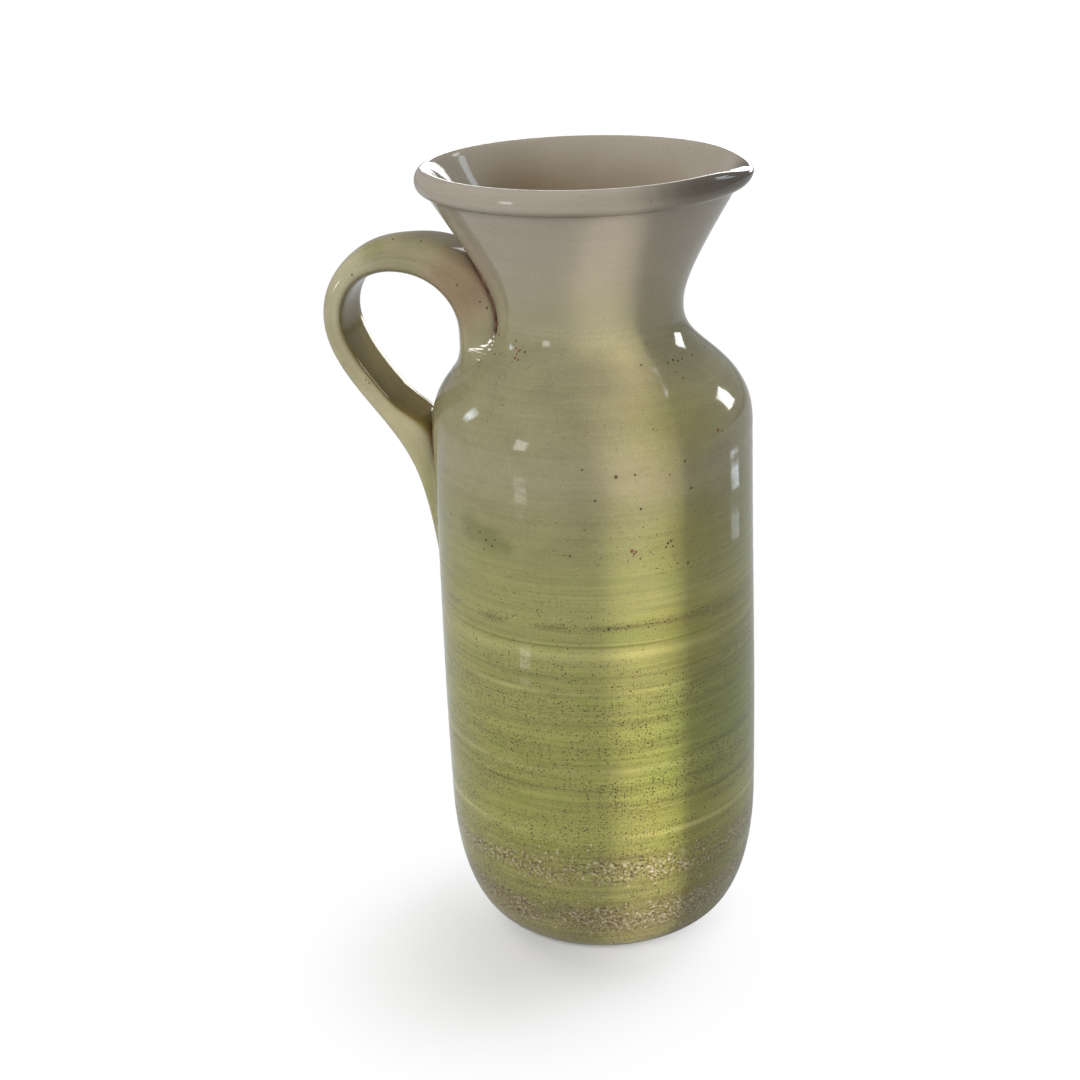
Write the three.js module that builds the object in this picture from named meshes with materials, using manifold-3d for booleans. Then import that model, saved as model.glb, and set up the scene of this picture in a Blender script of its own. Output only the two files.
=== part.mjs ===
// A wheel-thrown, glazed jug: a tall body, a flared collar luted on at the waist, and a pulled strap handle.
// Millimetres, +Z up. The origin is the centre of the flat foot. The pouring lip points along +X, the handle
// along -X, and the layers of joining slip between the clay pieces are pieces of their own.
import * as THREE from "three";
import { mergeVertices } from "three/addons/utils/BufferGeometryUtils.js";
import Module from "manifold-3d";

// Body
const FOOT_RADIUS = 38; // flat underside
const BODY_RADIUS = 56; // upright wall, outside
const BASE_RISE = 48; // height over which the base swells out to the upright wall
const BASE_SPREAD = 11; // how far the underside runs out level before it turns up
const BASE_ROUND = 30; // how far down the upright direction pulls the swell
const WALL_RISE = 142; // upright wall, from the base to the shoulder
const SHOULDER_RISE = 40; // shoulder, from the upright wall to the waist
const SHOULDER_ROUND = 22; // fullness of the shoulder's round
const WAIST_HOLLOW = 16; // depth of the hollow under the waist
const WAIST_RADIUS = 32.6; // narrowest place, outside
const WALL = 5.5; // thickness of the thrown wall
const FLOOR = 8; // thickness of the floor

// Collar
const COLLAR_RISE = 36; // waist to the crease under the rim
const COLLAR_RADIUS = 49.5; // outside, at the crease
const COLLAR_HOLLOW = 9; // depth of the hollow above the waist
const FLARE_RISE = 14; // upper stretch of the collar that flares steadily
const FLARE_RUN = 8.5; // how far that stretch leans out
const RIM_RISE = 13; // rolled rim, from the crease to the crest
const RIM_BULGE = 6.5; // how far the roll stands out beyond the crease
const RIM_UNDERCUT = 3.5; // how far the roll's underside leans out before it turns up
const CREST_DROP = 4.5; // from the crest down to the roll's widest place
const CREST_INSET = 4; // from the roll's widest place in to the crest
const LIP_INSET = 4.5; // from the crest in to the mouth
const MOUTH_SQUEEZE = 5.5; // how far the mouth is drawn in on each side of the lip
const MOUTH_LEAN = 1.3; // how far the thrown mouth leans towards the handle

// Pouring lip
const LIP_REACH = 4; // how far the lip stands out beyond the rim
const LIP_DROP = 2; // how far its tip turns down
const LIP_DEPTH = 11; // how far its throat runs down the collar
const LIP_SPREAD = THREE.MathUtils.degToRad(15); // half angle of the lip

// Handle
const STRAP_WIDTH = 20;
const STRAP_THICKNESS = 11.5;
const ROOT_THICKNESS = 13; // from the root, worked onto the neck, to the crown
const ROOT_BITE = 1; // how deep the root's back is pressed into the neck
const ROOT_DROP = 26; // from the waist down to the root's end, under the shoulder's skin
const NECK_DROP = 6; // from the waist down to where the strap begins to bend out
const CROWN_RISE = 25; // top of the handle above the waist
const CROWN_REACH = 33; // top of the handle out from the neck
const GRIP_REACH = 38; // outermost face of the handle beyond the body wall
const GRIP_DROP = 3.5; // outermost place below the waist
const GRIP_ROUND = 18; // how far the grip runs upright before it turns in
const JOIN_DROP = 13; // lower join below the shoulder line
const JOIN_STANDOFF = 4.6; // strap's centre line out from the wall at the lower join
const JOIN_LEAN = 7; // how far the strap leans out over the join
const JOIN_RISE = 17; // height over which it leans
const TAIL_LENGTH = 46; // tail smeared down the wall below the join
const TAIL_BITE = 0.3; // depth of the tail's tip under the wall's skin
const TAIL_LEAN = 2; // how far the tail's lower half leans out
const TAIL_THICKNESS = 5;
const TAIL_WIDTH = 16;
const STRAP_SQUARENESS = 2.6; // exponent of the section: 2 is an ellipse, larger is squarer

// Joining slip
const SLIP = 1; // thickness of a slip layer
const SLIP_BEAD = 1; // how far the slip squeezes out around the strap
const GAP = 0.3; // clearance between a piece and the curved piece that it is fitted to

// Fineness of the curves
const TURN_STEPS = 60; // around the axis
const CURVE_STEPS = 7; // along one curve of a profile
const STRAP_STEPS = 9; // along one curve of the strap
const STRAP_SIDES = 20; // around the strap
const MERGE_DISTANCE = 0.003; // corners of a mesh closer than this are one corner

// Heights and places that follow from the sizes
const shoulderHeight = BASE_RISE + WALL_RISE;
const waistHeight = shoulderHeight + SHOULDER_RISE;
const collarHeight = waistHeight + SLIP;
const creaseHeight = collarHeight + COLLAR_RISE;
const rimHeight = creaseHeight + RIM_RISE;
const bulgeRadius = COLLAR_RADIUS + RIM_BULGE;
const bulgeHeight = rimHeight - CREST_DROP;
const crestRadius = bulgeRadius - CREST_INSET;

// Handle length of a cubic curve that follows a quarter of an ellipse
const QUARTER = 0.5523;

const wasm = await Module();
wasm.setup();

const at = (radius, height) => new THREE.Vector2(radius, height);

const cubic = (...points) => new THREE.CubicBezierCurve(...points);

const line = (from, to) => new THREE.LineCurve(from, to);

// The base's swell, for the outside or for the inside at a wall and a floor thickness.
function baseCurve(wall, floor) {
  return cubic(
    at(FOOT_RADIUS, floor),
    at(FOOT_RADIUS + BASE_SPREAD, floor),
    at(BODY_RADIUS - wall, BASE_RISE - BASE_ROUND + floor),
    at(BODY_RADIUS - wall, BASE_RISE),
  );
}

// Outside of the body above its base, from the upright wall to the waist
const bodyUpper = [
  line(at(BODY_RADIUS, BASE_RISE), at(BODY_RADIUS, shoulderHeight)),
  cubic(
    at(BODY_RADIUS, shoulderHeight),
    at(BODY_RADIUS, shoulderHeight + SHOULDER_ROUND),
    at(WAIST_RADIUS, waistHeight - WAIST_HOLLOW),
    at(WAIST_RADIUS, waistHeight),
  ),
];

const waistBand = line(at(WAIST_RADIUS, waistHeight), at(WAIST_RADIUS, collarHeight));

const flare = cubic(
  at(WAIST_RADIUS, collarHeight),
  at(WAIST_RADIUS, collarHeight + COLLAR_HOLLOW),
  at(COLLAR_RADIUS - FLARE_RUN, creaseHeight - FLARE_RISE),
  at(COLLAR_RADIUS, creaseHeight),
);

// Outside of the rolled rim, from the crease over its widest place to the crest
const roll = [
  cubic(
    at(COLLAR_RADIUS, creaseHeight),
    at(COLLAR_RADIUS + RIM_UNDERCUT, creaseHeight + RIM_UNDERCUT),
    at(bulgeRadius, bulgeHeight - CREST_DROP * QUARTER),
    at(bulgeRadius, bulgeHeight),
  ),
  cubic(
    at(bulgeRadius, bulgeHeight),
    at(bulgeRadius, bulgeHeight + CREST_DROP * QUARTER),
    at(crestRadius + CREST_INSET * QUARTER, rimHeight),
    at(crestRadius, rimHeight),
  ),
];

// Inside of the rolled rim, from the crest down into the mouth
const mouthEdge = cubic(
  at(crestRadius, rimHeight),
  at(crestRadius - LIP_INSET * QUARTER, rimHeight),
  at(crestRadius - LIP_INSET, bulgeHeight + CREST_DROP * QUARTER),
  at(crestRadius - LIP_INSET, bulgeHeight),
);

// Points along joined curves, moved sideways by an offset: outwards where the curves run upwards.
function contour(curves, offset) {
  const points = [];
  for (const curve of curves) {
    const steps = curve.isLineCurve ? 1 : CURVE_STEPS;
    for (let step = points.length ? 1 : 0; step <= steps; step += 1) {
      const tangent = curve.getTangent(step / steps);
      const side = at(tangent.y, -tangent.x).multiplyScalar(offset);
      points.push(curve.getPoint(step / steps).add(side));
    }
  }
  return points;
}

// A profile of radius and height turned about the Z axis.
function thrown(profile) {
  return new THREE.LatheGeometry(profile, TURN_STEPS).rotateX(Math.PI / 2);
}

// The thrown mouth made into a jug's: it is drawn in a little beside the lip, and the lip, on the +X side,
// is pulled out and turned down, fading towards its sides and down its throat.
function shapeMouth(geometry) {
  const position = geometry.getAttribute("position");
  const point = new THREE.Vector3();
  for (let index = 0; index < position.count; index += 1) {
    point.fromBufferAttribute(position, index);
    const rise = THREE.MathUtils.smoothstep(point.z, collarHeight, rimHeight);
    const throat = THREE.MathUtils.clamp(1 - (rimHeight - point.z) / LIP_DEPTH, 0, 1) ** 2;
    const turn = Math.atan2(point.y, point.x) / LIP_SPREAD;
    const lip = throat * Math.exp(-turn * turn);
    const reach = 1 + (LIP_REACH * lip) / bulgeRadius;
    const squeeze = 1 - (MOUTH_SQUEEZE * rise) / crestRadius;
    const lean = MOUTH_LEAN * rise;
    position.setXYZ(index, point.x * reach - lean, point.y * reach * squeeze, point.z - LIP_DROP * lip);
  }
  return geometry;
}

// A closed mesh as a solid, with shared corners merged and the collapsed triangles at the axis left out.
function solid(geometry) {
  const bare = geometry.clone().deleteAttribute("normal").deleteAttribute("uv");
  const merged = mergeVertices(bare, MERGE_DISTANCE);
  const corners = merged.getIndex().array;
  const triVerts = [];
  for (let first = 0; first < corners.length; first += 3) {
    const [a, b, c] = corners.slice(first, first + 3);
    if (a !== b && b !== c && c !== a) triVerts.push(a, b, c);
  }
  const vertProperties = new Float32Array(merged.getAttribute("position").array);
  return new wasm.Manifold(new wasm.Mesh({ numProp: 3, vertProperties, triVerts: new Uint32Array(triVerts) }));
}

// A solid as a mesh again.
function surface(shape) {
  const { vertProperties, triVerts } = shape.getMesh();
  const geometry = new THREE.BufferGeometry();
  geometry.setAttribute("position", new THREE.BufferAttribute(vertProperties, 3));
  geometry.setIndex(new THREE.BufferAttribute(triVerts, 1));
  return geometry;
}

// The jug's outside as one filled solid, grown by an offset: what the handle and its slip are fitted to.
function outside(offset) {
  const curves = [baseCurve(0, 0), ...bodyUpper, waistBand, flare, ...roll];
  const profile = contour(curves, offset);
  return solid(shapeMouth(thrown([at(0, -offset), ...profile, at(0, profile.at(-1).y)])));
}

// Centre line of the handle's strap, as distance out from the axis and height
const root = at(WAIST_RADIUS + ROOT_THICKNESS / 2 - ROOT_BITE, waistHeight - ROOT_DROP);
const neck = at(root.x, waistHeight - NECK_DROP);
const crown = at(WAIST_RADIUS + CROWN_REACH, waistHeight + CROWN_RISE - ROOT_THICKNESS / 2);
const grip = at(BODY_RADIUS + GRIP_REACH - STRAP_THICKNESS / 2, waistHeight - GRIP_DROP);
const join = at(BODY_RADIUS + JOIN_STANDOFF, shoulderHeight - JOIN_DROP);
const tip = at(BODY_RADIUS - TAIL_BITE - TAIL_THICKNESS / 2, join.y - TAIL_LENGTH);

// Each stretch of the strap has a curve, and its width and thickness at both ends.
const plainStrap = [STRAP_WIDTH, STRAP_THICKNESS];
const rootStrap = [STRAP_WIDTH, ROOT_THICKNESS];
const tailStrap = [TAIL_WIDTH, TAIL_THICKNESS];
const upperStretches = [
  { curve: line(root, neck), from: rootStrap, to: rootStrap },
  {
    curve: cubic(
      neck,
      at(neck.x, neck.y + (crown.y - neck.y) * QUARTER),
      at(crown.x - (crown.x - neck.x) * QUARTER, crown.y),
      crown,
    ),
    from: rootStrap,
    to: rootStrap,
  },
];
const lowerStretches = [
  {
    curve: cubic(
      crown,
      at(crown.x + (grip.x - crown.x) * QUARTER, crown.y),
      at(grip.x, grip.y + (crown.y - grip.y) * QUARTER),
      grip,
    ),
    from: rootStrap,
    to: plainStrap,
  },
  {
    curve: cubic(grip, at(grip.x, grip.y - GRIP_ROUND), at(join.x + JOIN_LEAN, join.y + JOIN_RISE), join),
    from: plainStrap,
    to: plainStrap,
  },
  {
    curve: cubic(
      join,
      at(join.x - JOIN_LEAN * QUARTER, join.y - JOIN_RISE * QUARTER),
      at(tip.x + TAIL_LEAN, tip.y + TAIL_LENGTH * (1 - QUARTER)),
      tip,
    ),
    from: plainStrap,
    to: tailStrap,
  },
];

// One ring of the strap's section: an ellipse squared off by an exponent, square to the centre line.
function strapRing(stretch, fraction, bead) {
  const centre = stretch.curve.getPoint(fraction);
  const tangent = stretch.curve.getTangent(fraction);
  const halfWidth = THREE.MathUtils.lerp(stretch.from[0], stretch.to[0], fraction) / 2 + bead;
  const halfThickness = THREE.MathUtils.lerp(stretch.from[1], stretch.to[1], fraction) / 2 + bead;
  const squared = (value) => Math.sign(value) * Math.abs(value) ** (2 / STRAP_SQUARENESS);
  const ring = [];
  for (let side = 0; side < STRAP_SIDES; side += 1) {
    const angle = (2 * Math.PI * side) / STRAP_SIDES;
    const across = halfThickness * squared(Math.cos(angle));
    const along = halfWidth * squared(Math.sin(angle));
    ring.push(-(centre.x - tangent.y * across), along, centre.y + tangent.x * across);
  }
  return ring;
}

// The strap along joined stretches as a closed solid, grown all round by a bead.
function strap(stretches, bead) {
  const rings = [];
  stretches.forEach((stretch, order) => {
    for (let step = order ? 1 : 0; step <= STRAP_STEPS; step += 1) {
      rings.push(strapRing(stretch, step / STRAP_STEPS, bead));
    }
  });
  const index = [];
  const corner = (ring, side) => ring * STRAP_SIDES + (side % STRAP_SIDES);
  for (let ring = 0; ring + 1 < rings.length; ring += 1) {
    for (let side = 0; side < STRAP_SIDES; side += 1) {
      const [a, b] = [corner(ring, side), corner(ring, side + 1)];
      const [c, d] = [corner(ring + 1, side), corner(ring + 1, side + 1)];
      index.push(a, b, d, a, d, c);
    }
  }
  const last = rings.length - 1;
  for (let side = 1; side + 1 < STRAP_SIDES; side += 1) {
    index.push(corner(0, 0), corner(0, side + 1), corner(0, side));
    index.push(corner(last, 0), corner(last, side), corner(last, side + 1));
  }
  const geometry = new THREE.BufferGeometry();
  geometry.setAttribute("position", new THREE.Float32BufferAttribute(rings.flat(), 3));
  geometry.setIndex(index);
  return solid(geometry);
}

// The body: a flat foot, a swelling base, an upright wall and a shoulder, open at the waist.
function makeBody() {
  const outer = contour([baseCurve(0, 0), ...bodyUpper], 0);
  const inner = [...contour([baseCurve(WALL, FLOOR)], 0), ...contour(bodyUpper, -WALL).slice(1)];
  return thrown([at(0, 0), ...outer, ...inner.reverse(), at(0, FLOOR)]);
}

// The collar: an open ring in section, from the waist up its outside, over the rolled rim and down its inside.
function makeCollar() {
  const outer = contour([flare, ...roll, mouthEdge], 0);
  const inner = contour([flare], -WALL).reverse();
  return shapeMouth(thrown([...outer, ...inner, outer[0]]));
}

// The slip ring at the waist: it fills the joint between the body's and the collar's level edges.
function makeWaistSlip() {
  const low = at(WAIST_RADIUS, waistHeight);
  const high = at(WAIST_RADIUS, collarHeight);
  const innerLow = at(WAIST_RADIUS - WALL, waistHeight);
  const innerHigh = at(WAIST_RADIUS - WALL, collarHeight);
  return thrown([low, high, innerHigh, innerLow, low]);
}

// A slip pad: the layer between the jug's outside and the strap, squeezed out a little around the strap.
function makeSlipPad(stretches) {
  return surface(strap(stretches, SLIP_BEAD).intersect(outside(GAP + SLIP)).subtract(outside(GAP)));
}

// The handle: the whole strap, fitted over the slip pads at both ends.
function makeHandle() {
  const whole = strap([...upperStretches, ...lowerStretches], 0);
  return surface(whole.subtract(outside(GAP + SLIP + GAP)));
}

const greenGlaze = { color: 0x98965f, roughness: 0.22, metalness: 0 };
const greyGlaze = { color: 0x988c7c, roughness: 0.2, metalness: 0 };
const handleGlaze = { color: 0x979070, roughness: 0.2, metalness: 0 };
const firedSlip = { color: 0x6b4a38, roughness: 0.6, metalness: 0 };

const jug = new THREE.Group();

// Adds a piece to the jug under its name, with its own material.
function addPiece(name, geometry, finish) {
  geometry.computeVertexNormals();
  const mesh = new THREE.Mesh(geometry, new THREE.MeshStandardMaterial(finish));
  mesh.name = name;
  jug.add(mesh);
}

addPiece("body", makeBody(), greenGlaze);
addPiece("waist_slip", makeWaistSlip(), firedSlip);
addPiece("collar", makeCollar(), greyGlaze);
addPiece("upper_slip", makeSlipPad(upperStretches), firedSlip);
addPiece("lower_slip", makeSlipPad(lowerStretches), firedSlip);
addPiece("handle", makeHandle(), handleGlaze);

export default jug;
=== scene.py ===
import math

import bpy
import numpy as np
from mathutils import Matrix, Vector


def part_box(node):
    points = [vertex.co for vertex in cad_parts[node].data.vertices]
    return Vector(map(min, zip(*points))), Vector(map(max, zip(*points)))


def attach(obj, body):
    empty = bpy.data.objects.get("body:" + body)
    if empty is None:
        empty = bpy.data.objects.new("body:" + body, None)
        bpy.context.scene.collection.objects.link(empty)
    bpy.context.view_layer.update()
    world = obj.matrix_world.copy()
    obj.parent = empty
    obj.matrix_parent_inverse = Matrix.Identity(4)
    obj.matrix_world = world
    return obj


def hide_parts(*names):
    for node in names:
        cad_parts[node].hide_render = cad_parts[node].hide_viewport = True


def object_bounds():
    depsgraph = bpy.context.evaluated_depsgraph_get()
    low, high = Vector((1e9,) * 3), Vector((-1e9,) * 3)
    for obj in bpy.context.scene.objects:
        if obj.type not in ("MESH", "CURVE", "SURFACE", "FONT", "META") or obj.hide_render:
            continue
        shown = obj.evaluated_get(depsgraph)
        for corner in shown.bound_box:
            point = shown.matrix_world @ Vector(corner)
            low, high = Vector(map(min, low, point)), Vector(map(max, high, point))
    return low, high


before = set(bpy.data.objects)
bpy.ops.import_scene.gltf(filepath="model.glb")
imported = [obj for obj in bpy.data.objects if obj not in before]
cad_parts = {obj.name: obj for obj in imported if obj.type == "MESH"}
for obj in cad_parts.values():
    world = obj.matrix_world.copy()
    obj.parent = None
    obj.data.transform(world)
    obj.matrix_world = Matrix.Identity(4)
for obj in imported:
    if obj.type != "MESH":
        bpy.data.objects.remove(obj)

SOLID_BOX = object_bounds()


# Body. The lower section of the jug, thrown on the wheel in stoneware: a flat foot, an upright wall that is
# a little fuller low down, and a shoulder closed in to the waist. Faint finger marks climb it in a spiral.
# Its glossy glaze runs from grey at the waist to olive below, with iron specks and crumbs near the foot.
BODY_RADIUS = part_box("body")[1].x
WAIST_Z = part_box("body")[1].z
FOOT_RADIUS = 0.038
BASE_SPREAD = 0.011
BASE_HEIGHT = 0.048
BASE_ROUND = 0.030
SHOULDER_Z = 0.190
SHOULDER_ROUND = 0.022
WAIST_HOLLOW = 0.016
WAIST_RADIUS = 0.0326
WALL = 0.0055
FLOOR = 0.008
AXIS_GAP = 0.0005
BELLY_Z = 0.085
BELLY_REACH = 0.055
BELLY = 0.0006
MARK_PITCH = 0.0085
MARK_DEPTH = 0.00003
SWELL_PITCH = 0.047
WARP = 0.00016
FADE_LOW = (0.006, 0.030)
FADE_HIGH = (0.196, 0.226)
TURN_COLUMNS = 264
SHARP_EDGE = math.radians(48)


def curve(a, b, c, d, rows):
    """Cubic curve: four (radius, height) points weighted (1-t)^3, 3(1-t)^2 t, 3(1-t) t^2 and t^3."""
    t = np.linspace(0, 1, rows)[:, None]
    a, b, c, d = (np.array(p, float) for p in (a, b, c, d))
    return (1 - t) ** 3 * a + 3 * (1 - t) ** 2 * t * b + 3 * (1 - t) * t ** 2 * c + t ** 3 * d


def straight(a, b, rows):
    """Straight run from a to b: a (1-t) + b t."""
    t = np.linspace(0, 1, rows)[:, None]
    return np.array(a, float) * (1 - t) + np.array(b, float) * t


def joined(*runs):
    """Runs laid end to end, each without the first point, which the run before it already has."""
    return np.concatenate([runs[0]] + [run[1:] for run in runs[1:]])


def inward(run, depth):
    """The run moved to its left by depth: each point plus depth times its unit tangent turned a quarter."""
    step = np.gradient(run, axis=0)
    step /= np.linalg.norm(step, axis=1)[:, None]
    return run + depth * np.stack([-step[:, 1], step[:, 0]], 1)


def smooth(value, low, high):
    """0 below low, 1 above high and t^2 (3 - 2t) between, where t is the share of the way."""
    t = np.clip((value - low) / (high - low), 0, 1)
    return t * t * (3 - 2 * t)


def turned(profile, columns):
    """Profile turned about the vertical axis: (radius cos angle, radius sin angle, height)."""
    angle = np.linspace(0, 2 * np.pi, columns, endpoint=False)[None, :]
    radius, height = profile[:, :1], profile[:, 1:]
    return np.stack([radius * np.cos(angle), radius * np.sin(angle), height + 0 * angle], -1)


def thrown(points):
    """Radius times 1 + (belly + spiral marks + warp) / radius: a bell curve of height, the sine of height
    over pitch less one turn per turn, and slow sines of angle. All fade out at the foot and the waist."""
    x, y, z = np.moveaxis(points, -1, 0)
    radius, angle = np.hypot(x, y), np.arctan2(y, x)
    belly = BELLY * np.exp(-((z - BELLY_Z) / BELLY_REACH) ** 2)
    swell = 0.6 + 0.4 * np.sin(2 * np.pi * z / SWELL_PITCH + 1.1)
    marks = MARK_DEPTH * swell * np.sin(2 * np.pi * z / MARK_PITCH - angle)
    warp = WARP * (np.sin(2 * angle + 0.8 + 14 * z) + 0.6 * np.sin(3 * angle - 0.5 - 21 * z))
    fade = smooth(z, *FADE_LOW) * (1 - smooth(z, *FADE_HIGH))
    share = 1 + (belly + (marks + warp)) * fade / np.maximum(radius, FOOT_RADIUS)
    return np.stack([x * share, y * share, z], -1)


def shell(name, points, loop=False):
    """Closed skin over a grid of rows by columns. Columns run once round. Rows run once round too if loop is
    set, and otherwise the first and last row are closed by a fan to their middle."""
    rows, columns = points.shape[:2]
    index = np.arange(rows * columns).reshape(rows, columns)
    low, high = (index, np.roll(index, -1, 0)) if loop else (index[:-1], index[1:])
    quads = np.stack([low, np.roll(low, -1, 1), np.roll(high, -1, 1), high], -1).reshape(-1, 4)
    places, faces = points.reshape(-1, 3), quads.tolist()
    if not loop:
        ends = np.stack([points[0].mean(0), points[-1].mean(0)])
        first, last = len(places), len(places) + 1
        places = np.concatenate([places, ends])
        start = np.stack([np.roll(index[0], -1), index[0], np.full(columns, first)], -1)
        finish = np.stack([index[-1], np.roll(index[-1], -1), np.full(columns, last)], -1)
        faces += start.tolist() + finish.tolist()
    mesh = bpy.data.meshes.new(name)
    mesh.from_pydata(places.tolist(), [], faces)
    mesh.polygons.foreach_set("use_smooth", np.ones(len(mesh.polygons), bool))
    mesh.set_sharp_from_angle(angle=SHARP_EDGE)
    piece = bpy.data.objects.new(name, mesh)
    bpy.context.scene.collection.objects.link(piece)
    return piece


class Tone:
    """A value, colour or vector in a material's nodes. Arithmetic on values adds Math nodes."""

    def __init__(self, tree, socket=None):
        self.tree, self.socket = tree, socket

    def node(self, kind, settings, sockets, out=0):
        """Adds a node of that kind, sets its settings, then gives its sockets their values or links."""
        made = self.tree.nodes.new(kind)
        for key, value in settings.items():
            if key == "stops":
                ramp = made.color_ramp
                while len(ramp.elements) < len(value):
                    ramp.elements.new(1)
                for element, (place, colour) in zip(ramp.elements, value):
                    element.position, element.color = place, colour
            else:
                setattr(made, key, value)
        for key, value in sockets.items():
            if isinstance(value, Tone):
                self.tree.links.new(value.socket, made.inputs[key])
            else:
                made.inputs[key].default_value = value
        return Tone(self.tree, made.outputs[out])

    def math(self, operation, first, second):
        return self.node("ShaderNodeMath", {"operation": operation}, {0: first, 1: second})

    def __add__(self, other):
        return self.math("ADD", self, other)

    def __radd__(self, other):
        return self.math("ADD", other, self)

    def __sub__(self, other):
        return self.math("SUBTRACT", self, other)

    def __rsub__(self, other):
        return self.math("SUBTRACT", other, self)

    def __mul__(self, other):
        return self.math("MULTIPLY", self, other)

    def __rmul__(self, other):
        return self.math("MULTIPLY", other, self)

    def most(self, other):
        return self.math("MAXIMUM", self, other)

    def rise(self, low, high):
        """0 at low, 1 at high, eased between; low may be the larger."""
        sockets = {0: self, 1: low, 2: high, 3: 0.0, 4: 1.0}
        return self.node("ShaderNodeMapRange", {"interpolation_type": "SMOOTHSTEP"}, sockets)

    def bell(self, centre, reach):
        """exp(-((value - centre) / reach)^2)."""
        away = (self - centre) * (1 / reach)
        return self.math("POWER", math.exp(-1), away * away)

    def over(self, colour, factor):
        """This colour with another laid over it, by factor."""
        sockets = {0: factor, 6: self, 7: colour}
        return self.node("ShaderNodeMix", {"data_type": "RGBA", "clamp_factor": True}, sockets, 2)

    def shaded(self, factor):
        """This colour made lighter or darker: each channel times factor."""
        return self.node("ShaderNodeVectorMath", {"operation": "SCALE"}, {0: self, "Scale": factor})

    def stretched(self, x, y, z):
        return self.node("ShaderNodeVectorMath", {"operation": "MULTIPLY"}, {0: self, 1: (x, y, z)})

    def noise(self, scale, detail, roughness=0.5):
        sockets = {"Vector": self, "Scale": scale, "Detail": detail, "Roughness": roughness}
        return self.node("ShaderNodeTexNoise", {}, sockets)

    def distance(self, place):
        return self.node("ShaderNodeVectorMath", {"operation": "DISTANCE"}, {0: self, 1: place}, 1)

    def specks(self, cells, size, share):
        """Round dots, one to a cell: 1 inside the cell's own radius, in that share of the cells."""
        sockets = {"Vector": self, "Scale": cells}
        gap = self.node("ShaderNodeTexVoronoi", {}, sockets)
        draw = self.node("ShaderNodeTexVoronoi", {}, sockets, 1)
        chance = self.node("ShaderNodeSeparateColor", {}, {0: draw}, 0)
        bulk = self.node("ShaderNodeSeparateColor", {}, {0: draw}, 1)
        inside = (gap - (bulk * (0.8 * size) + 0.4 * size)).rise(0.06, -0.06)
        return inside * (share - chance).rise(0.0, 0.02)

    def ramp(self, stops):
        """Colour that follows this value from stop to stop."""
        return self.node("ShaderNodeValToRGB", {"stops": stops}, {0: self})

    def carried(self, name, out="Fac"):
        """What the mesh carries under that name at each vertex."""
        return self.node("ShaderNodeAttribute", {"attribute_name": name}, {}, out)

    def into(self, taker, socket):
        self.tree.links.new(self.socket, taker.inputs[socket])


def new_finish(name):
    """A new material, its shader, and the place on the surface in the jug's frame."""
    material = bpy.data.materials.new(name)
    material.use_nodes = True
    tree = material.node_tree
    here = Tone(tree).node("ShaderNodeTexCoord", {}, {}, "Object")
    return material, tree.nodes["Principled BSDF"], here


def paint(red, green, blue):
    """A colour as seen on a screen, 0 to 255, as the linear light that a shader takes."""
    seen = np.array([red, green, blue]) / 255
    light = np.where(seen <= 0.04045, seen / 12.92, ((seen + 0.055) / 1.055) ** 2.4)
    return (*light.tolist(), 1.0)


JUG_TOP = SOLID_BOX[1].z
GLAZE_BY_HEIGHT = [
    (0.000, paint(132, 122, 80)),
    (0.016, paint(130, 124, 78)),
    (0.050, paint(128, 126, 67)),
    (0.085, paint(123, 122, 63)),
    (0.125, paint(123, 120, 69)),
    (0.150, paint(122, 120, 74)),
    (0.174, paint(119, 115, 80)),
    (0.185, paint(126, 119, 91)),
    (0.205, paint(122, 117, 89)),
    (0.224, paint(120, 115, 89)),
    (0.236, paint(133, 126, 101)),
    (0.250, paint(140, 131, 113)),
    (0.280, paint(136, 128, 116)),
]
STREAK_PALE = paint(168, 164, 104)
STREAK_DARK = paint(92, 92, 38)
SPECK_BROWN = paint(48, 34, 20)
CRAWL_BROWN = paint(106, 88, 60)
CRUMB_PALE = paint(174, 159, 141)
RUST = paint(96, 40, 34)
# Green of the glaze's random mottle. The same green is also painted shade on the body's lower right.
GREEN_MOTTLE_AND_SHADE = paint(100, 110, 46)
THIN_BROWN = paint(66, 42, 30)
SMUDGE_OLIVE = paint(84, 84, 40)
GREEN_HEIGHTS = (0.185, 0.120)
SPECKLED_HEIGHTS = (0.128, 0.095)
GRIT_HEIGHTS = (0.115, 0.030)
RING_Z = 0.1345
RING_BREADTH = 0.0013
RING_FRONT = (-0.018, -0.053, RING_Z)
RING_REACH = (0.075, 0.03)
HIGH_CRAWL = (0.0400, 0.0055)
LOW_CRAWL = (0.0190, 0.0058)
RELIEF = 0.00022
GLAZE_IOR = 1.46
# Height, breadth, colour and strength of each line that the wheel left in the glaze.
WHEEL_LINES = [
    (0.1100, 0.0010, STREAK_PALE, 0.65), (0.0800, 0.0013, STREAK_PALE, 0.65),
    (0.0850, 0.0008, STREAK_DARK, 0.50), (0.0540, 0.0012, STREAK_PALE, 0.75),
    (0.0320, 0.0012, STREAK_PALE, 0.55), (0.1240, 0.0026, STREAK_PALE, 0.40),
    (0.0660, 0.0008, STREAK_DARK, 0.40), (0.0960, 0.0008, STREAK_DARK, 0.40),
    (0.1275, 0.0005, STREAK_DARK, 0.70),
]


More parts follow.
